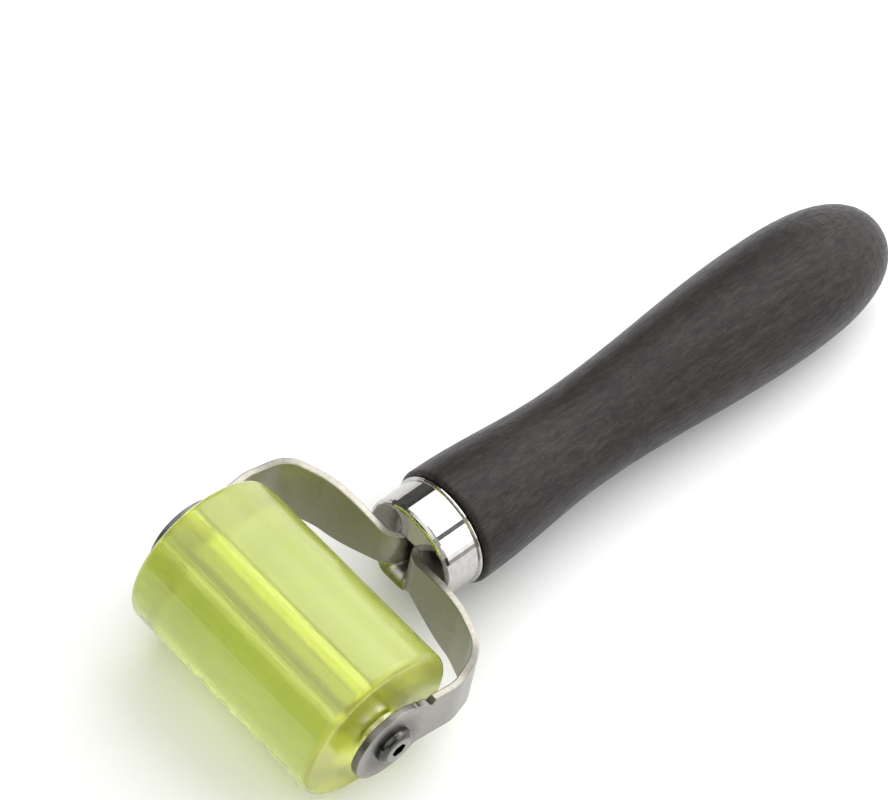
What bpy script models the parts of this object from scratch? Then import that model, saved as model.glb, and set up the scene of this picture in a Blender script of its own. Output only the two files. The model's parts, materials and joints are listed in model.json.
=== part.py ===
"""Hand roller (rubber brayer): a urethane roller in a sheet-steel fork on a turned wooden handle.

Everything is drawn in millimetres in the tool's own frame and turned into metres when the meshes
are made. The tool's frame has its origin on the roller's axis, X along that axis and Y towards the
end of the handle. An empty called tool then lays the whole thing down as it rests on a bench, on
the roller and on the swell of the handle.
"""
import math

import bmesh
import bpy
from mathutils import Matrix, Vector

MM = 0.001
SIDES = {"left": -1, "right": 1}

# Roller: cover, brass core and the axle it turns on
COVER_WIDTH = 60.0
COVER_RADIUS = 20.5
COVER_EDGE_RADIUS = 1.8
CORE_RADIUS = 4.5
CORE_BORE_RADIUS = 4.0
CORE_JOINT_GAP = 0.05
AXLE_RADIUS = 3.9
WASHER_RADIUS = 5.6
WASHER_WIDTH = 2.6
WASHER_END_GAP = 0.3
WASHER_EDGE = 0.3

# Fork: one blank of sheet steel, folded to two arms and a channel-shaped tang
SHEET = 1.8
SHEET_EDGE_RADIUS = 0.3
EAR_INSIDE = 33.2
EAR_RADIUS = 10.4
EAR_HOLE_RADIUS = 2.65
FLARE_START = 6.5
ARM_BENDS = (((34.4, 17.8), 8.0), ((31.75, 26.15), 7.0), ((22.65, 29.5), 15.0))
THROAT_Y = 33.2
THROAT_BEND_RADIUS = 6.5
TANG_HALF_GAP = 0.9
TANG_END_Y = 62.0
NECK_HALF_WIDTH = 7.2
NECK_FILLET_RISE = 0.8
NECK_FILLET_END = 9.6
NECK_END = 17.0
BELLY_HALF_WIDTH = 9.7
BELLY_START = 31.0
BELLY_END = 38.0
ROOT_START = 60.0
ROOT_TOP = 4.4
ROOT_BOTTOM = 5.4
NOTCH_Y = 10.4
NOTCH_WIDTH = 2.0
NOTCH_DEPTH = 1.3

# Floor of the tang, which ends in a lip rolled down under the throat
FLOOR_TOP = 5.8
FLOOR_SHEET = 1.6
FLOOR_INSET = 0.12
FLOOR_CORNER = 0.9
LIP_START_Y = 35.4
LIP_RADIUS = 3.0
LIP_TURN = 72.0
LIP_CORNER = 2.6
LIP_HALF_WIDTH = 4.9
FLOOR_WALL_TOP = 4.2

# Button-head screws, M5
SCREW_HEAD_RADIUS = 4.75
SCREW_HEAD_HEIGHT = 2.1
SCREW_CROWN_RADIUS = 2.6
SCREW_SHANK_RADIUS = 2.15
SCREW_LENGTH = 12.0
HEX_ACROSS_FLATS = 3.4
HEX_DEPTH = 1.5
TAPPED_RADIUS = 2.25
TAPPED_DEPTH = 13.0

# Ferrule: a drawn cup with a slot in its end wall and a rolled rear rim
FERRULE_FRONT_Y = 36.3
FERRULE_REAR_Y = 46.8
FERRULE_RADIUS = 13.4
FERRULE_WALL = 0.9
FERRULE_EDGE_RADIUS = 1.4
FERRULE_RIM_RADIUS = 14.0
FERRULE_RIM_WIDTH = 1.0
SLOT_CLEARANCE = 0.2

# Handle: turned wood
HANDLE_FRONT_Y = 47.0
HANDLE_TIP_Y = 193.9
HANDLE_FRONT_RADIUS = 14.9
HANDLE_EDGE_RADIUS = 1.3
WAIST_Y = 89.0
WAIST_RADIUS = 12.75
SWELL_Y = 157.0
SWELL_RADIUS = 16.3
END_ROUNDNESS = 2.6
TENON_RADIUS = 12.3
TENON_FRONT_Y = 39.2
MORTISE_DEPTH_Y = 66.0

ROUND_STEPS = 80
SMALL_ROUND_STEPS = 48


# ---------------------------------------------------------------- helpers

def start_empty_file():
    for existing in list(bpy.data.objects):
        bpy.data.objects.remove(existing)


def material(name, colour, roughness, metallic=0.0, **extras):
    made = bpy.data.materials.new(name)
    made.use_nodes = True
    shader = made.node_tree.nodes["Principled BSDF"]
    shader.inputs["Base Color"].default_value = (*colour, 1.0)
    shader.inputs["Roughness"].default_value = roughness
    shader.inputs["Metallic"].default_value = metallic
    for socket, value in extras.items():
        shader.inputs[socket.replace("_", " ")].default_value = value
    return made


def object_from(name, shape, finish=None):
    """Turn a bmesh drawn in millimetres into an object in metres."""
    bmesh.ops.recalc_face_normals(shape, faces=shape.faces)
    bmesh.ops.scale(shape, vec=(MM, MM, MM), verts=shape.verts)
    mesh = bpy.data.meshes.new(name)
    shape.to_mesh(mesh)
    shape.free()
    mesh.shade_smooth()
    mesh.set_sharp_from_angle(angle=math.radians(35))
    made = bpy.data.objects.new(name, mesh)
    bpy.context.scene.collection.objects.link(made)
    if finish:
        mesh.materials.append(finish)
    return made


def turned(outline, axis, steps=ROUND_STEPS):
    """Spin an outline of (along, radius) points about the X or the Y axis."""
    shape = bmesh.new()
    if axis == "X":
        corners = [shape.verts.new((along, 0.0, radius)) for along, radius in outline]
        spin_axis = (1, 0, 0)
    else:
        corners = [shape.verts.new((0.0, along, radius)) for along, radius in outline]
        spin_axis = (0, 1, 0)
    ring = list(zip(corners, corners[1:] + corners[:1]))
    edges = [shape.edges.new(pair) for pair in ring if not both_on_axis(pair)]
    bmesh.ops.spin(shape, geom=corners + edges, cent=(0, 0, 0), axis=spin_axis,
                   angle=2 * math.pi, steps=steps, use_merge=False, use_duplicate=False)
    bmesh.ops.remove_doubles(shape, verts=shape.verts, dist=1e-4)
    merge_flat_ends(shape, "XY".index(axis))
    return shape


def merge_flat_ends(shape, along):
    """Make each flat end on the axis one face, not a fan of triangles round its centre."""
    centres = []
    for corner in shape.verts:
        spokes = [edge.other_vert(corner).co[along] - corner.co[along] for edge in corner.link_edges]
        if len(spokes) > 8 and max(abs(rise) for rise in spokes) < 1e-5:
            centres.append(corner)
    bmesh.ops.dissolve_verts(shape, verts=centres)


def both_on_axis(pair):
    return all(corner.co.z < 1e-6 for corner in pair)


def arc(centre, radius, start, end, steps):
    """Points (along, radius) on an arc; angles in degrees from the axial direction."""
    angles = [math.radians(start + (end - start) * i / steps) for i in range(steps + 1)]
    return [(centre[0] + radius * math.cos(a), centre[1] + radius * math.sin(a)) for a in angles]


def ease(start, end, share):
    """Cosine blend from start to end as share goes from 0 to 1."""
    share = min(max(share, 0.0), 1.0)
    return start + (end - start) * (1 - math.cos(math.pi * share)) / 2


def cutter(name, shape):
    made = object_from(name, shape)
    made.hide_render = True
    made.display_type = "WIRE"
    return made


def boolean(target, tool, operation):
    modifier = target.modifiers.new(f"{operation.lower()}_{tool.name}", "BOOLEAN")
    modifier.operation = operation
    modifier.solver = "EXACT"
    modifier.object = tool


def box_shape(low, high):
    shape = bmesh.new()
    bmesh.ops.create_cube(shape, size=1.0)
    size = Vector(high) - Vector(low)
    centre = (Vector(high) + Vector(low)) / 2
    bmesh.ops.scale(shape, vec=size, verts=shape.verts)
    bmesh.ops.translate(shape, vec=centre, verts=shape.verts)
    return shape


# ---------------------------------------------------------------- roller

def make_cover(finish):
    half = COVER_WIDTH / 2
    edge = COVER_EDGE_RADIUS
    bore = CORE_RADIUS + CORE_JOINT_GAP
    outline = [(-half, bore)]
    outline += arc((-half + edge, COVER_RADIUS - edge), edge, 180, 90, 6)
    outline += arc((half - edge, COVER_RADIUS - edge), edge, 90, 0, 6)
    outline += [(half, bore)]
    return object_from("roller_cover", turned(outline, "X"), finish)


def make_core(finish):
    half = COVER_WIDTH / 2
    outline = [(-half, CORE_BORE_RADIUS), (-half, CORE_RADIUS),
               (half, CORE_RADIUS), (half, CORE_BORE_RADIUS)]
    return object_from("core_sleeve", turned(outline, "X", SMALL_ROUND_STEPS), finish)


def make_axle(finish):
    half = EAR_INSIDE - 0.1
    hole_end = half - TAPPED_DEPTH
    outline = [(-hole_end, 0.0), (-hole_end, TAPPED_RADIUS), (-half, TAPPED_RADIUS),
               (-half, AXLE_RADIUS - 0.4), (-half + 0.4, AXLE_RADIUS),
               (half - 0.4, AXLE_RADIUS), (half, AXLE_RADIUS - 0.4),
               (half, TAPPED_RADIUS), (hole_end, TAPPED_RADIUS), (hole_end, 0.0)]
    return object_from("axle", turned(outline, "X", SMALL_ROUND_STEPS), finish)


def make_washer(side, finish):
    near = COVER_WIDTH / 2 + WASHER_END_GAP
    far = near + WASHER_WIDTH
    bore = AXLE_RADIUS + 0.15
    edge = WASHER_EDGE
    outline = [(near, bore), (near, WASHER_RADIUS - edge), (near + edge, WASHER_RADIUS),
               (far - edge, WASHER_RADIUS), (far, WASHER_RADIUS - edge), (far, bore)]
    outline = [(SIDES[side] * along, radius) for along, radius in outline]
    return object_from(f"thrust_washer_{side}", turned(outline, "X", SMALL_ROUND_STEPS), finish)


def make_screw(side, finish):
    seat = EAR_INSIDE + SHEET + 0.05
    top = seat + SCREW_HEAD_HEIGHT
    crown_steps = 8
    rise = SCREW_HEAD_HEIGHT - 0.5
    reach = SCREW_HEAD_RADIUS - SCREW_CROWN_RADIUS
    crown = []
    for i in range(crown_steps + 1):
        turn = math.radians(90 * i / crown_steps)
        crown.append((top - rise * (1 - math.cos(turn)), SCREW_CROWN_RADIUS + reach * math.sin(turn)))
    tip = top - SCREW_HEAD_HEIGHT - SCREW_LENGTH
    outline = [(top, 0.0)] + crown + [(seat, SCREW_HEAD_RADIUS), (seat, SCREW_SHANK_RADIUS),
                                      (tip + 0.5, SCREW_SHANK_RADIUS),
                                      (tip, SCREW_SHANK_RADIUS - 0.5), (tip, 0.0)]
    outline = [(SIDES[side] * along, radius) for along, radius in outline]
    screw = object_from(f"screw_{side}", turned(outline, "X", SMALL_ROUND_STEPS), finish)
    socket = bmesh.new()
    corner_radius = HEX_ACROSS_FLATS / 2 / math.cos(math.radians(30))
    bmesh.ops.create_cone(socket, cap_ends=True, segments=6, radius1=corner_radius,
                          radius2=corner_radius, depth=2 * HEX_DEPTH,
                          matrix=Matrix.Rotation(math.radians(90), 4, "Y"))
    bmesh.ops.translate(socket, vec=(SIDES[side] * top, 0, 0), verts=socket.verts)
    hexagon = cutter(f"hex_cutter_{side}", socket)
    boolean(screw, hexagon, "DIFFERENCE")
    return screw, hexagon


# ---------------------------------------------------------------- fork

def rounded_path(corners, radii, step=5.0):
    """A polyline with its inner corners rounded: a list of points and unit headings."""
    path = []
    for i in range(1, len(corners) - 1):
        here = Vector(corners[i])
        before = (here - Vector(corners[i - 1])).normalized()
        after = (Vector(corners[i + 1]) - here).normalized()
        bend = before.angle_signed(after)
        reach = radii[i - 1] * math.tan(abs(bend) / 2)
        steps = max(2, math.ceil(math.degrees(abs(bend)) / step))
        start = here - before * reach
        across = Vector((-before.y, before.x)) * (-1 if bend > 0 else 1)
        centre = start + across * radii[i - 1]
        for k in range(steps + 1):
            turn = Matrix.Rotation(-bend * k / steps, 2)
            path.append((centre + turn @ (start - centre), turn @ before))
    return path


def arm_path():
    """The roller-side face of the right arm, seen from above, from the ear to the end of the tang."""
    corners = [(EAR_INSIDE, -EAR_RADIUS), (EAR_INSIDE, FLARE_START)]
    corners += [corner for corner, _ in ARM_BENDS]
    corners += [(TANG_HALF_GAP, THROAT_Y), (TANG_HALF_GAP, TANG_END_Y)]
    radii = [40.0] + [radius for _, radius in ARM_BENDS] + [THROAT_BEND_RADIUS]
    return rounded_path(corners, radii) + [(Vector(corners[-1]), Vector((0.0, 1.0)))]


def arm_half_widths(run):
    """Distances of the top and the bottom edge from the axle's level, run along the arm."""
    if run < NECK_FILLET_END:
        disc = math.sqrt(max(EAR_RADIUS ** 2 - run ** 2, 0.0))
        share = max((NECK_FILLET_END - run) / (NECK_FILLET_END - NECK_HALF_WIDTH), 0.0)
        fillet = NECK_HALF_WIDTH + NECK_FILLET_RISE * share ** 2
        on_disc = run < EAR_RADIUS - 4.0
        return (disc, disc) if on_disc else (max(disc, fillet), max(disc, NECK_HALF_WIDTH))
    if run < BELLY_END:
        wide = ease(NECK_HALF_WIDTH, BELLY_HALF_WIDTH, (run - NECK_END) / (BELLY_START - NECK_END))
        return wide, wide
    share = (run - BELLY_END) / (ROOT_START - BELLY_END)
    return ease(BELLY_HALF_WIDTH, ROOT_TOP, share), ease(BELLY_HALF_WIDTH, ROOT_BOTTOM, share)


def arm_columns(side, ear_steps=20):
    """Outline of the sheet's section at each station along one arm, from the ear's tip to the tang."""
    stations = []
    for i in range(1, ear_steps + 1):
        y = -EAR_RADIUS * math.cos(math.radians(110 * i / ear_steps))
        stations.append((Vector((EAR_INSIDE, y)), Vector((0.0, 1.0))))
    last = stations[-1][0].y
    stations += [station for station in subdivided(arm_path()) if station[0].y > last + 0.2]
    columns = []
    previous = stations[0][0]
    run = previous.y
    for point, heading in stations:
        run += (point - previous).length
        previous = point
        columns.append(sheet_section(side, point, heading, *arm_half_widths(run)))
    return columns


def subdivided(path, longest=1.4):
    """Add stations along the straight stretches, so that the edges can curve there."""
    out = [path[0]]
    for (a, _), (b, heading) in zip(path, path[1:]):
        fine = 0.6 if a.y < NECK_FILLET_END else longest
        pieces = max(1, math.ceil((b - a).length / fine))
        for k in range(1, pieces + 1):
            between = out[-1][1].lerp(heading, 1 / (pieces - k + 1)).normalized()
            out.append((a.lerp(b, k / pieces), between))
    return out


def sheet_section(side, point, heading, top, bottom, steps=2):
    """Section of the sheet across its run, with rounded corners."""
    radius = min(SHEET_EDGE_RADIUS, top / 3)
    corners = [(radius, top - radius, 180, 90), (SHEET - radius, top - radius, 90, 0),
               (SHEET - radius, radius - bottom, 0, -90), (radius, radius - bottom, -90, -180)]
    outward = Vector((heading.y, -heading.x))
    section = []
    for depth, height, start, end in corners:
        for across, z in arc((depth, height), radius, start, end, steps):
            place = point + outward * across
            section.append((SIDES[side] * place.x, place.y, z))
    return section


def loft(sections):
    """A solid skinned over closed sections of equal point counts, with flat ends."""
    shape = bmesh.new()
    rings = [[shape.verts.new(point) for point in section] for section in sections]
    for first, second in zip(rings, rings[1:]):
        for i in range(len(first)):
            j = (i + 1) % len(first)
            shape.faces.new((first[i], first[j], second[j], second[i]))
    shape.faces.new(rings[-1])
    shape.faces.new(list(reversed(rings[0])))
    return shape


def plate_between(first, second):
    """A solid between two grids of points that face each other, closed round its edge."""
    shape = bmesh.new()
    near = [[shape.verts.new(point) for point in row] for row in first]
    far = [[shape.verts.new(point) for point in row] for row in second]
    rows, columns = len(near), len(near[0])
    for i in range(rows - 1):
        for j in range(columns - 1):
            shape.faces.new((near[i][j], near[i][j + 1], near[i + 1][j + 1], near[i + 1][j]))
            shape.faces.new((far[i][j], far[i + 1][j], far[i + 1][j + 1], far[i][j + 1]))
        for j in (0, columns - 1):
            shape.faces.new((near[i][j], near[i + 1][j], far[i + 1][j], far[i][j]))
    for j in range(columns - 1):
        for i in (0, rows - 1):
            shape.faces.new((near[i][j], near[i][j + 1], far[i][j + 1], far[i][j]))
    return shape


def make_arm(side, finish=None, name=None):
    return object_from(name or f"arm_{side}", loft(arm_columns(side)), finish)


def throat_face(y, radius):
    """Where a face bent at this radius about the throat's centre stands at y."""
    bend = Vector(ARM_BENDS[-1][0]) - Vector((TANG_HALF_GAP, THROAT_Y))
    lean = math.atan2(-bend.y, bend.x)
    centre_y = THROAT_Y + THROAT_BEND_RADIUS * math.tan(math.radians(45) - lean / 2)
    drop = min(max(centre_y - y, 0.0), 0.98 * radius)
    return TANG_HALF_GAP + THROAT_BEND_RADIUS - math.sqrt(radius ** 2 - drop ** 2)


def floor_curve(y, floor, corner, steps=6):
    """The channel's inner face across the tool at y: down one wall, over the floor and up."""
    half = min(throat_face(y, THROAT_BEND_RADIUS) + FLOOR_INSET, LIP_HALF_WIDTH)
    bend = arc((half - corner, corner - floor), corner, 0, -90, steps)
    right = [(half, -FLOOR_WALL_TOP)] + bend + [((half - corner) / 2, -floor)]
    left = [(-x, z) for x, z in right]
    return [Vector((x, y, z)) for x, z in left + [(0.0, -floor)] + right[::-1]]


def floor_curves():
    curves = []
    steps = 8
    for i in range(steps):
        turn = math.radians(LIP_TURN * (1 - i / steps))
        y = LIP_START_Y - LIP_RADIUS * math.sin(turn)
        floor = FLOOR_TOP + LIP_RADIUS * (1 - math.cos(turn))
        corner = FLOOR_CORNER + (LIP_CORNER - FLOOR_CORNER) * (1 - i / steps)
        curves.append(floor_curve(y, floor, corner))
    for y in (LIP_START_Y, LIP_START_Y + 1.2, LIP_START_Y + 2.4, LIP_START_Y + 4.0, TANG_END_Y - 0.4):
        curves.append(floor_curve(y, FLOOR_TOP, FLOOR_CORNER))
    return curves


def make_floor():
    """The tang's floor as a sheet of even thickness under its inner face."""
    inner = floor_curves()
    last_row, last = len(inner) - 1, len(inner[0]) - 1
    outer = []
    for i, curve in enumerate(inner):
        row = []
        for j, point in enumerate(curve):
            along = inner[min(i + 1, last_row)][j] - inner[max(i - 1, 0)][j]
            across = curve[min(j + 1, last)] - curve[max(j - 1, 0)]
            row.append(point + FLOOR_SHEET * along.cross(across).normalized())
        outer.append(row)
    return cutter("floor", plate_between(inner, outer))


def make_notch(side):
    """A small V cut in the top edge of the arm, just behind the ear."""
    top = NECK_HALF_WIDTH + 0.6
    bottom = NECK_HALF_WIDTH - NOTCH_DEPTH
    half = NOTCH_WIDTH / 2 * (top - bottom) / NOTCH_DEPTH
    profile = [(NOTCH_Y - half, top), (NOTCH_Y, bottom), (NOTCH_Y + half, top)]
    sections = [[(SIDES[side] * x, y, z) for y, z in profile] for x in (30.0, 40.0)]
    return cutter(f"notch_cutter_{side}", loft(sections))


def make_ear_hole(side):
    hole = bmesh.new()
    bmesh.ops.create_cone(hole, cap_ends=True, segments=48, radius1=EAR_HOLE_RADIUS,
                          radius2=EAR_HOLE_RADIUS, depth=10.0,
                          matrix=Matrix.Rotation(math.radians(90), 4, "Y"))
    bmesh.ops.translate(hole, vec=(SIDES[side] * (EAR_INSIDE + SHEET / 2), 0, 0), verts=hole.verts)
    return cutter(f"hole_cutter_{side}", hole)


def make_fork(finish):
    fork = make_arm("right", finish, "fork")
    left = make_arm("left")
    left.hide_render = True
    left.display_type = "WIRE"
    joined = [left, make_floor()]
    cut = [make_notch(side) for side in SIDES] + [make_ear_hole(side) for side in SIDES]
    for tool in joined:
        boolean(fork, tool, "UNION")
    for tool in cut:
        boolean(fork, tool, "DIFFERENCE")
    return [fork] + joined + cut


# ---------------------------------------------------------------- ferrule and handle

def make_ferrule(finish):
    front, rear = FERRULE_FRONT_Y, FERRULE_REAR_Y
    edge, wall = FERRULE_EDGE_RADIUS, FERRULE_WALL
    inside = FERRULE_RADIUS - wall
    rim_half = FERRULE_RIM_WIDTH / 2
    outline = [(front, 0.0)]
    outline += arc((front + edge, FERRULE_RADIUS - edge), edge, 180, 90, 6)
    outline += [(rear - 2.2 * rim_half, FERRULE_RADIUS)]
    outline += arc((rear - rim_half, FERRULE_RIM_RADIUS - rim_half), rim_half, 150, 0, 6)
    outline += [(rear, inside), (front + wall + 0.5, inside), (front + wall, inside - 0.5),
                (front + wall, 0.0)]
    ferrule = object_from("ferrule", turned(outline, "Y"), finish)
    reach = throat_face(front, THROAT_BEND_RADIUS - SHEET) + SLOT_CLEARANCE
    slot = cutter("slot_cutter", box_shape((-reach, front - 2, -FLOOR_TOP - FLOOR_SHEET - SLOT_CLEARANCE),
                                           (reach, front + wall + 0.6, ROOT_TOP + SLOT_CLEARANCE)))
    boolean(ferrule, slot, "DIFFERENCE")
    return ferrule, slot


def handle_radius(y):
    """Radius of the turned handle: front, waist, swell and rounded end."""
    if y <= WAIST_Y:
        front = HANDLE_FRONT_Y + 2
        return ease(HANDLE_FRONT_RADIUS, WAIST_RADIUS, (y - front) / (WAIST_Y - front))
    if y <= SWELL_Y:
        return ease(WAIST_RADIUS, SWELL_RADIUS, (y - WAIST_Y) / (SWELL_Y - WAIST_Y))
    share = min((y - SWELL_Y) / (HANDLE_TIP_Y - SWELL_Y), 1.0)
    return SWELL_RADIUS * (1 - share ** END_ROUNDNESS) ** (1 / END_ROUNDNESS)


def handle_stations():
    straight = 24
    stations = [HANDLE_FRONT_Y + 2 + (SWELL_Y - HANDLE_FRONT_Y - 2) * i / straight for i in range(straight)]
    end = 13
    stations += [SWELL_Y + (HANDLE_TIP_Y - SWELL_Y) * math.sin(math.pi / 2 * i / end) for i in range(end)]
    return stations


def make_handle(finish):
    edge = HANDLE_EDGE_RADIUS
    outline = [(TENON_FRONT_Y, 0.0), (TENON_FRONT_Y, TENON_RADIUS - 0.6),
               (TENON_FRONT_Y + 0.6, TENON_RADIUS), (HANDLE_FRONT_Y, TENON_RADIUS)]
    outline += arc((HANDLE_FRONT_Y + edge, HANDLE_FRONT_RADIUS - edge), edge, 180, 90, 5)
    outline += [(y, handle_radius(y)) for y in handle_stations()]
    outline += [(HANDLE_TIP_Y, 0.0)]
    handle = object_from("handle", turned(outline, "Y"), finish)
    reach = TANG_HALF_GAP + SHEET + SLOT_CLEARANCE
    mortise = cutter("mortise_cutter", box_shape(
        (-reach, TENON_FRONT_Y - 2, -FLOOR_TOP - FLOOR_SHEET - SLOT_CLEARANCE),
        (reach, MORTISE_DEPTH_Y, ROOT_TOP + SLOT_CLEARANCE)))
    boolean(handle, mortise, "DIFFERENCE")
    return handle, mortise


# ---------------------------------------------------------------- resting pose

def resting_tilt():
    """How far the handle dips when the tool lies on its roller and the swell of its handle."""
    tilts = []
    for y in handle_stations():
        radius = handle_radius(y)
        tilts.append(math.asin(COVER_RADIUS / math.hypot(y, radius)) - math.atan2(radius, y))
    return min(tilts)


def lay_down(pieces):
    """Parent every piece to one empty that lays the tool down, centred over the origin."""
    tilt = resting_tilt()
    front, back = -COVER_RADIUS, HANDLE_TIP_Y * math.cos(tilt)
    tool = bpy.data.objects.new("tool", None)
    bpy.context.scene.collection.objects.link(tool)
    tool.location = (0.0, -(front + back) / 2 * MM, COVER_RADIUS * MM)
    tool.rotation_euler = (-tilt, 0.0, 0.0)
    for piece in pieces:
        piece.parent = tool


def main():
    start_empty_file()
    urethane = material("urethane", (0.62, 0.74, 0.10), 0.35, Transmission_Weight=0.4, IOR=1.5)
    brass = material("brass", (0.86, 0.68, 0.30), 0.30, 1.0)
    axle_steel = material("axle_steel", (0.55, 0.55, 0.54), 0.35, 1.0)
    washer_brass = material("washer_brass", (0.90, 0.82, 0.55), 0.25, 1.0)
    screw_steel = material("screw_steel", (0.45, 0.44, 0.42), 0.25, 1.0)
    fork_nickel = material("fork_nickel", (0.52, 0.51, 0.48), 0.38, 1.0)
    ferrule_nickel = material("ferrule_nickel", (0.86, 0.85, 0.82), 0.10, 1.0)
    black_wood = material("black_wood", (0.045, 0.040, 0.038), 0.5)
    pieces = [make_cover(urethane), make_core(brass), make_axle(axle_steel)]
    pieces += [make_washer(side, washer_brass) for side in SIDES]
    for side in SIDES:
        pieces += make_screw(side, screw_steel)
    pieces += make_fork(fork_nickel)
    pieces += make_ferrule(ferrule_nickel)
    pieces += make_handle(black_wood)
    lay_down(pieces)


main()
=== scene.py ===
"""Looks and picture of the hand roller: materials, studio light, floor and camera.

The CAD nodes stay as they are packed, and each one gets a material made from nodes. Lengths are in
metres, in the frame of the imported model: X along the axle, Y towards the handle's end, Z up.
"""
import json
import math

import bpy
from mathutils import Matrix, Vector

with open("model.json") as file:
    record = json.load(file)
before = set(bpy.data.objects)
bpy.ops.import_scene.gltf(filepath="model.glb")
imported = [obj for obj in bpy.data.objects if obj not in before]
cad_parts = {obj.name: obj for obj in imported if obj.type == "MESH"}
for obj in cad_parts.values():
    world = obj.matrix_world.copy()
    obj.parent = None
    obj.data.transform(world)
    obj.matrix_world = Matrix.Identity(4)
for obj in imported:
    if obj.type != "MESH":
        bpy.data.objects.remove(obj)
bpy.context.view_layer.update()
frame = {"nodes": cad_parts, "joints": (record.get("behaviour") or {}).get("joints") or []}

MM = 0.001
NODES = frame["nodes"]
AXLE_CENTRE = Vector(frame["joints"][0]["pos_m"])

# In front of this, round the ears, the fork's cut rims get painted shade
EAR_RIMS_Y = -74 * MM
EAR_SPAN = 10 * MM

# The tool lies with its handle sloping down from the axle by this angle
TILT = math.radians(1.5018)
TOOL = Matrix.Translation(AXLE_CENTRE) @ Matrix.Rotation(-TILT, 4, "X")

# Camera, in the tool's own frame: origin on the axle, X along it, Y along the handle
CAMERA_PLACE = Vector((253.23, -287.45, 589.22)) * MM
CAMERA_AZIMUTH = 37.89
CAMERA_ELEVATION = 52.27
CAMERA_ROLL = 11.82
CAMERA_LENS = 128.475

FLOOR_HALF = 4.0
LIGHTS_AIM = Vector((0.0, -45 * MM, 20 * MM))

# Sockets of a Mix node that mixes colours: it has others of the same names for numbers and vectors
MIX_SHARE, MIX_FIRST, MIX_SECOND, MIX_RESULT = 0, 6, 7, 2


# ---------------------------------------------------------------- node helpers

class Nodes:
    """A node tree, with short ways to add and join nodes."""

    def __init__(self, tree):
        self.tree = tree

    def link(self, source, target):
        self.tree.links.new(source, target)

    def node(self, kind, **settings):
        made = self.tree.nodes.new(kind)
        for name, value in settings.items():
            setattr(made, name, value)
        return made

    def ramp(self, value, stops, smooth=False):
        """Colours or greys by a value from 0 to 1: each stop is a position and a colour or grey."""
        made = self.node("ShaderNodeValToRGB")
        made.color_ramp.interpolation = "EASE" if smooth else "LINEAR"
        elements = made.color_ramp.elements
        while len(elements) < len(stops):
            elements.new(0.5)
        for element, (position, colour) in zip(elements, stops):
            element.position = position
            grey = isinstance(colour, (int, float))
            element.color = (colour, colour, colour, 1.0) if grey else (*colour, 1.0)
        self.link(value, made.inputs["Fac"])
        return made.outputs["Color"]

    def ramp_over(self, span, length, stops, smooth=False):
        """A ramp by a length in metres, from 0 to `span`, whose stops are lengths too."""
        share = self.math("MULTIPLY", length, 1.0 / span)
        return self.ramp(share, [(position / span, colour) for position, colour in stops], smooth)

    def math(self, operation, first, second=None, third=None):
        """A Math node, whose values are numbers or sockets."""
        made = self.node("ShaderNodeMath", operation=operation)
        for socket, value in zip(made.inputs, (first, second, third)):
            if isinstance(value, (int, float)):
                socket.default_value = value
            elif value is not None:
                self.link(value, socket)
        return made.outputs["Value"]

    def mix(self, share, first, second, blend="MIX"):
        """Two colours mixed by a share, each of them a constant or a socket."""
        made = self.node("ShaderNodeMix", data_type="RGBA", blend_type=blend)
        sockets = (made.inputs[MIX_SHARE], made.inputs[MIX_FIRST], made.inputs[MIX_SECOND])
        for socket, value in zip(sockets, (share, first, second)):
            if isinstance(value, tuple):
                socket.default_value = (*value, 1.0)
            elif isinstance(value, (int, float)):
                socket.default_value = value
            else:
                self.link(value, socket)
        return made.outputs[MIX_RESULT]


class Shade(Nodes):
    """A material's node tree, in object coordinates."""

    def __init__(self, name):
        self.material = bpy.data.materials.new(name)
        self.material.use_nodes = True
        super().__init__(self.material.node_tree)
        self.shader = self.tree.nodes["Principled BSDF"]
        self.output = self.tree.nodes["Material Output"]
        place = self.tree.nodes.new("ShaderNodeTexCoord")
        self.place = place.outputs["Object"]
        self.normal = place.outputs["Normal"]

    def set(self, **values):
        """Set the shader's own sockets, with _ for each space in a name."""
        for name, value in values.items():
            self.shader.inputs[name.replace("_", " ")].default_value = value

    def stretched(self, scale):
        """Object coordinates scaled per axis."""
        made = self.node("ShaderNodeMapping")
        made.inputs["Scale"].default_value = scale
        self.link(self.place, made.inputs["Vector"])
        return made.outputs["Vector"]

    def noise(self, grain, detail=3.0, roughness=0.55, distortion=0.0):
        """Noise with `grain` cells per metre, given for each axis or once for all."""
        made = self.node("ShaderNodeTexNoise")
        made.inputs["Scale"].default_value = 1.0
        made.inputs["Detail"].default_value = detail
        made.inputs["Roughness"].default_value = roughness
        made.inputs["Distortion"].default_value = distortion
        grain = grain if isinstance(grain, tuple) else (grain, grain, grain)
        self.link(self.stretched(grain), made.inputs["Vector"])
        return made.outputs["Fac"]

    def axis(self, vector, name):
        made = self.node("ShaderNodeSeparateXYZ")
        self.link(vector, made.inputs[0])
        return made.outputs[name]

    def bump(self, height, strength, distance):
        made = self.node("ShaderNodeBump")
        made.inputs["Strength"].default_value = strength
        made.inputs["Distance"].default_value = distance
        self.link(height, made.inputs["Height"])
        self.link(made.outputs["Normal"], self.shader.inputs["Normal"])

    def colour(self, source):
        self.link(source, self.shader.inputs["Base Color"])

    def rough(self, source):
        self.link(source, self.shader.inputs["Roughness"])


# ---------------------------------------------------------------- materials

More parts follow.
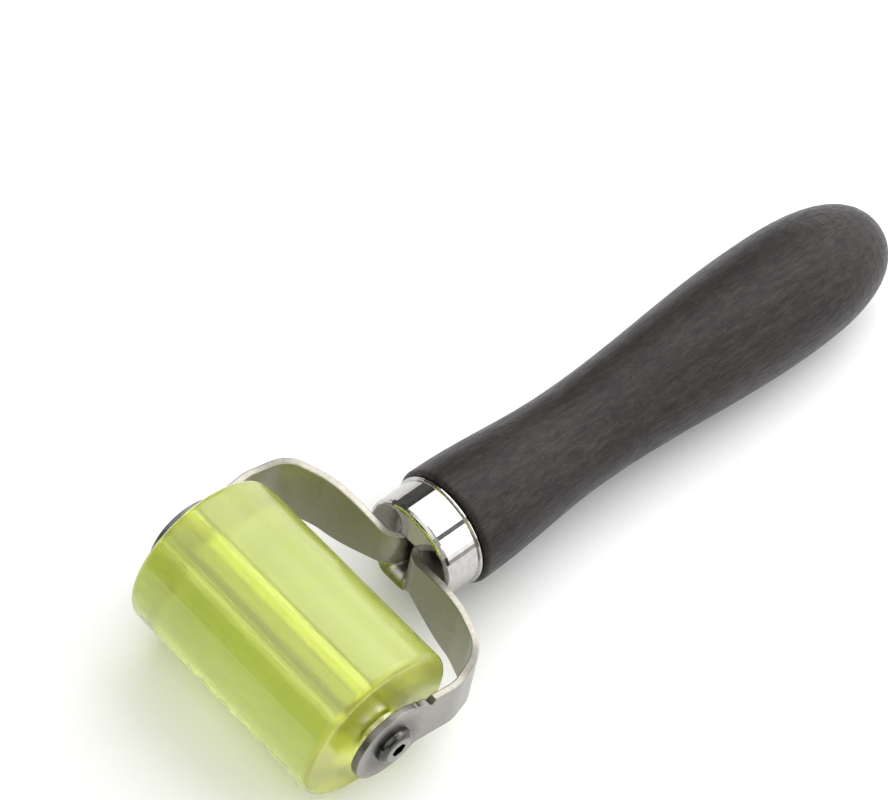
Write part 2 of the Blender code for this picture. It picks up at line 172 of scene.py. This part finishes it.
def black_wood():
    """Wood stained black, with pores drawn out along the handle and a few pale flecks."""
    shade = Shade("stained_black_wood")
    pores = shade.noise((900.0, 200.0, 900.0), 5.0, 0.70, 0.2)
    flecks = shade.noise((2000.0, 700.0, 2000.0), 3.0, 0.65)
    clouds = shade.noise((70.0, 26.0, 70.0))
    base = shade.ramp(clouds, [(0.3, (0.0125, 0.0098, 0.0092)), (0.72, (0.0235, 0.0185, 0.0170))])
    grain = shade.ramp(pores, [(0.36, 0.45), (0.52, 1.0), (0.66, 1.70)])
    toned = shade.mix(1.0, base, grain, "MULTIPLY")
    specks = shade.ramp(flecks, [(0.58, 0.0), (0.68, 1.0)])
    shade.colour(shade.mix(shade.math("MULTIPLY", specks, 0.30), toned, (0.075, 0.060, 0.052)))
    shade.rough(shade.ramp(pores, [(0.36, 0.46), (0.64, 0.32)]))
    height = shade.math("ADD", pores, shade.math("MULTIPLY", flecks, 0.6))
    shade.bump(height, 0.36, 0.30 * MM)
    shade.set(Specular_IOR_Level=0.25)
    return shade.material


def bright_nickel():
    """Polished plating with fine drawing marks round the ferrule."""
    shade = Shade("bright_nickel")
    drawn = shade.noise((380.0, 5200.0, 380.0))
    spots = shade.noise(700.0)
    shade.colour(shade.ramp(spots, [(0.35, (0.45, 0.44, 0.42)), (0.65, (0.53, 0.52, 0.50))]))
    shade.rough(shade.ramp(drawn, [(0.3, 0.055), (0.75, 0.12)]))
    shade.bump(drawn, 0.05, 0.03 * MM)
    shade.set(Metallic=1.0)
    return shade.material


def fork_rims(shade):
    """One on the cut rims of the arms and ears, nothing on the wide faces and low on the fork."""
    sideways = shade.math("ABSOLUTE", shade.axis(shade.normal, "X"))
    rims = shade.ramp(sideways, [(0.25, 1.0), (0.60, 0.0)])
    high = shade.ramp_over(50 * MM, shade.axis(shade.place, "Z"), [(7 * MM, 0.0), (10 * MM, 1.0)])
    return shade.math("MULTIPLY", rims, high)


def satin_nickel():
    """Satin sheet, with painted shade on the outer faces and round the screws, paler rims, and painted
    shade on the rims at the ears.
    """
    shade = Shade("satin_nickel")
    grit = shade.noise(4200.0, 2.0)
    streaks = shade.noise((900.0, 900.0, 5200.0))
    clouds = shade.noise(150.0, 4.0)
    body = shade.ramp(clouds, [(0.3, (0.39, 0.375, 0.350)), (0.7, (0.45, 0.435, 0.410))])
    toned = shade.mix(0.55, body, shade.ramp(grit, [(0.3, 0.75), (0.7, 1.15)]), "MULTIPLY")

    # The arms' outer faces are darker: painted shade
    outward = shade.math("MULTIPLY", shade.axis(shade.normal, "X"), shade.axis(shade.place, "X"))
    outer_face_shade = shade.mix(1.0, toned, (0.76, 0.76, 0.76), "MULTIPLY")
    toned = shade.mix(shade.ramp(outward, [(0.0, 0.0), (0.02, 1.0)]), toned, outer_face_shade)

    # Darker on the ears round the screws: painted shade
    from_screw = shade.node("ShaderNodeVectorMath", operation="DISTANCE")
    shade.link(shade.stretched((0.0, 1.0, 1.0)), from_screw.inputs[0])
    from_screw.inputs[1].default_value = (0.0, AXLE_CENTRE.y, AXLE_CENTRE.z)
    spread = shade.math("MULTIPLY_ADD", clouds, 4 * MM, from_screw.outputs["Value"])
    painted_screw_shade = shade.ramp_over(20 * MM, spread, [(7.6 * MM, 0.48), (12 * MM, 1.0)], smooth=True)
    toned = shade.mix(1.0, toned, painted_screw_shade, "MULTIPLY")

    edge = shade.ramp(streaks, [(0.35, (0.30, 0.285, 0.245)), (0.65, (0.37, 0.350, 0.305))])
    along = shade.axis(shade.place, "Y")
    # Painted shade on the cut rims round the ears
    by_ear = shade.math("MULTIPLY_ADD", along, -1.0 / EAR_SPAN, EAR_RIMS_Y / EAR_SPAN)
    painted_ear_rim_shade = shade.ramp(by_ear, [(0.0, 0.0), (3 * MM / EAR_SPAN, 1.0)])
    edge = shade.mix(painted_ear_rim_shade, edge, (0.17, 0.165, 0.155))
    shade.colour(shade.mix(fork_rims(shade), toned, edge))
    shade.rough(shade.ramp(grit, [(0.25, 0.24), (0.75, 0.40)]))
    shade.bump(grit, 0.12, 0.02 * MM)
    shade.set(Metallic=1.0)
    return shade.material


def dark_steel():
    """Blackened screws, with a lighter crown that is a painted highlight."""
    shade = Shade("dark_steel")
    turned = shade.noise((5200.0, 900.0, 900.0))
    dark = shade.ramp(turned, [(0.3, (0.065, 0.063, 0.060)), (0.7, (0.105, 0.102, 0.098))])
    # The crown, facing out along the axle, is lighter: a painted highlight
    facing_out = shade.math("ABSOLUTE", shade.axis(shade.normal, "X"))
    painted_crown_highlight = shade.ramp(facing_out, [(0.93, 0.0), (0.985, 1.0)])
    shade.colour(shade.mix(painted_crown_highlight, dark, (0.26, 0.25, 0.24)))
    shade.rough(shade.ramp(turned, [(0.3, 0.07), (0.7, 0.13)]))
    shade.bump(turned, 0.06, 0.03 * MM)
    shade.set(Metallic=1.0)
    return shade.material


def ground_steel():
    """The axle's ground rod."""
    shade = Shade("ground_steel")
    ground = shade.noise((6000.0, 500.0, 500.0))
    shade.colour(shade.ramp(ground, [(0.3, (0.48, 0.475, 0.46)), (0.7, (0.62, 0.61, 0.59))]))
    shade.rough(shade.ramp(ground, [(0.3, 0.22), (0.7, 0.36)]))
    shade.set(Metallic=1.0)
    return shade.material


def drawn_brass():
    """The core sleeve's dull tube, with marks drawn out along it."""
    shade = Shade("dull_drawn_brass")
    drawn = shade.noise((300.0, 3200.0, 3200.0))
    shade.colour(shade.ramp(drawn, [(0.3, (0.36, 0.35, 0.26)), (0.7, (0.52, 0.50, 0.38))]))
    shade.rough(shade.ramp(drawn, [(0.3, 0.08), (0.7, 0.14)]))
    shade.set(Metallic=1.0)
    return shade.material


def turned_brass():
    """The washers' pale brass, with fine turned rings."""
    shade = Shade("turned_brass")
    rings = shade.noise((5200.0, 600.0, 600.0))
    shade.colour(shade.ramp(rings, [(0.3, (0.90, 0.86, 0.72)), (0.7, (0.96, 0.93, 0.83))]))
    shade.rough(shade.ramp(rings, [(0.3, 0.12), (0.7, 0.22)]))
    shade.bump(rings, 0.08, 0.03 * MM)
    shade.set(Metallic=1.0)
    return shade.material


def urethane():
    """Cast urethane: clear yellow-green with a milky body, yellower ends that are partly painted light,
    and a few small specks.
    """
    shade = Shade("translucent_urethane")
    clouds = shade.noise(34.0)
    specks = shade.noise(1500.0, 2.0)
    body = shade.ramp(clouds, [(0.3, (0.84, 0.97, 0.23)), (0.7, (0.89, 0.985, 0.31))])
    from_middle = shade.math("ABSOLUTE", shade.axis(shade.place, "X"))
    # From 28 mm to just short of the flat ends, which are 30 mm from the middle
    at_ends = shade.ramp(shade.math("MULTIPLY", from_middle, 30.0), [(0.84, 0.0), (0.895, 1.0)])
    # The ends' yellower, brighter colour is partly their cut tone and partly painted light on the end
    # faces
    body = shade.mix(at_ends, body, (0.97, 0.99, 0.12))
    marks = shade.ramp(specks, [(0.70, 0.0), (0.76, 1.0)])
    shade.colour(shade.mix(shade.math("MULTIPLY", marks, 0.5), body, (0.95, 0.97, 0.72)))
    shade.rough(shade.ramp(specks, [(0.3, 0.19), (0.7, 0.24)]))
    shade.set(Coat_Weight=0.45, Coat_Roughness=0.20, Coat_IOR=1.6)
    shade.set(IOR=1.49, Transmission_Weight=0.81, Subsurface_Weight=1.0, Subsurface_Scale=0.010)
    shade.set(Subsurface_Radius=(1.0, 1.0, 0.25))
    absorb = shade.node("ShaderNodeVolumeAbsorption")
    absorb.inputs["Color"].default_value = (0.84, 0.97, 0.30, 1.0)
    absorb.inputs["Density"].default_value = 7.0
    shade.link(absorb.outputs["Volume"], shade.output.inputs["Volume"])
    return shade.material


def dress(node, material):
    """Give a CAD node one material all over."""
    slots = NODES[node].material_slots
    for slot in slots:
        slot.material = material
    if not slots:
        NODES[node].data.materials.append(material)


def dress_all():
    dress("handle", black_wood())
    dress("ferrule", bright_nickel())
    dress("fork", satin_nickel())
    dress("axle", ground_steel())
    dress("core_sleeve", drawn_brass())
    dress("roller_cover", urethane())
    washer, screw = turned_brass(), dark_steel()
    for side in ("left", "right"):
        dress(f"thrust_washer_{side}", washer)
        dress(f"screw_{side}", screw)


# ---------------------------------------------------------------- picture

def add_object(name, data):
    made = bpy.data.objects.new(name, data)
    bpy.context.scene.collection.objects.link(made)
    return made


def make_camera():
    """A camera at the photograph's viewing angle, from azimuth, elevation and roll in degrees."""
    azimuth, elevation, roll = (math.radians(a) for a in (CAMERA_AZIMUTH, CAMERA_ELEVATION, CAMERA_ROLL))
    back = Vector((math.sin(azimuth) * math.cos(elevation), -math.cos(azimuth) * math.cos(elevation),
                   math.sin(elevation)))
    right = Vector((math.cos(azimuth), math.sin(azimuth), 0.0))
    up = back.cross(right)
    turned_right = math.cos(roll) * right + math.sin(roll) * up
    turned_up = math.cos(roll) * up - math.sin(roll) * right
    facing = Matrix((turned_right, turned_up, back)).transposed().to_4x4()
    data = bpy.data.cameras.new("camera")
    data.lens = CAMERA_LENS
    data.sensor_width = 36.0
    data.clip_start = 0.05
    data.clip_end = 10.0
    camera = add_object("camera", data)
    camera.matrix_world = TOOL @ Matrix.Translation(CAMERA_PLACE) @ facing
    bpy.context.scene.camera = camera


def make_floor():
    mesh = bpy.data.meshes.new("floor")
    corners = [(x * FLOOR_HALF, y * FLOOR_HALF, 0) for x, y in ((-1, -1), (1, -1), (1, 1), (-1, 1))]
    mesh.from_pydata(corners, [], [(0, 1, 2, 3)])
    floor = add_object("floor", mesh)
    shade = Shade("white_table")
    paper = shade.noise(40.0)
    shade.colour(shade.ramp(paper, [(0.3, 0.885), (0.7, 0.90)]))
    shade.set(Roughness=0.75, Specular_IOR_Level=0.2)
    floor.data.materials.append(shade.material)


def area_light(name, place, size, power):
    """A soft box aimed at the roller and its fork, with its size in metres and its power in watts."""
    data = bpy.data.lights.new(name, "AREA")
    data.shape = "RECTANGLE"
    data.size, data.size_y = size
    data.energy = power
    light = add_object(name, data)
    light.location = place
    light.rotation_euler = (LIGHTS_AIM - Vector(place)).to_track_quat("-Z", "Y").to_euler()


def room_band(room, lean, stops):
    """The room's greys by direction: each stop is a direction's dot product with `lean`, and a grey."""
    leaning = room.node("ShaderNodeVectorMath", operation="DOT_PRODUCT")
    leaning.inputs[1].default_value = lean
    room.link(room.node("ShaderNodeTexCoord").outputs["Generated"], leaning.inputs[0])
    shifted = room.math("MULTIPLY_ADD", leaning.outputs["Value"], 0.5, 0.5)
    return room.ramp(shifted, [(0.5 + 0.5 * position, grey) for position, grey in stops])


def make_room():
    """A white room: dark walls low down on both sides, one dark seam in the ceiling, and brighter
    places high in front and behind."""
    world = bpy.data.worlds.new("studio")
    world.use_nodes = True
    room = Nodes(world.node_tree)
    walls = room_band(room, (0.45, 0.0, 1.0), [(0.0, 0.20), (0.10, 0.10), (0.28, 0.12),
                                               (0.38, 0.95), (1.0, 1.0)])
    seam = room_band(room, (0.71, 0.0, -0.71), [(-0.17, 1.0), (-0.13, 0.10), (-0.06, 0.10), (-0.03, 1.0),
                                                (0.44, 1.0), (0.50, 0.10), (1.0, 0.10)])
    front = room_band(room, (0.0, -0.5, 0.866), [(0.80, 0.0), (0.93, 1.4)])
    back = room_band(room, (0.0, 1.0, 0.0), [(0.62, 0.0), (0.72, 2.6)])
    light = room.mix(1.0, walls, seam, "MULTIPLY")
    light = room.mix(1.0, light, front, "ADD")
    light = room.mix(1.0, light, back, "ADD")
    background = world.node_tree.nodes["Background"]
    room.link(light, background.inputs["Color"])
    background.inputs["Strength"].default_value = 0.70
    bpy.context.scene.world = world


def make_lights():
    area_light("ceiling_box", (-0.127, 0.34, 0.72), (1.20, 0.55), 4.4)
    area_light("side_box", (0.62, 0.34, 0.35), (0.40, 0.52), 1.2)


def set_tone():
    view = bpy.context.scene.view_settings
    view.view_transform = "Standard"
    view.look = "None"
    view.exposure = 0.0


dress_all()
make_camera()
make_floor()
make_room()
make_lights()
set_tone()
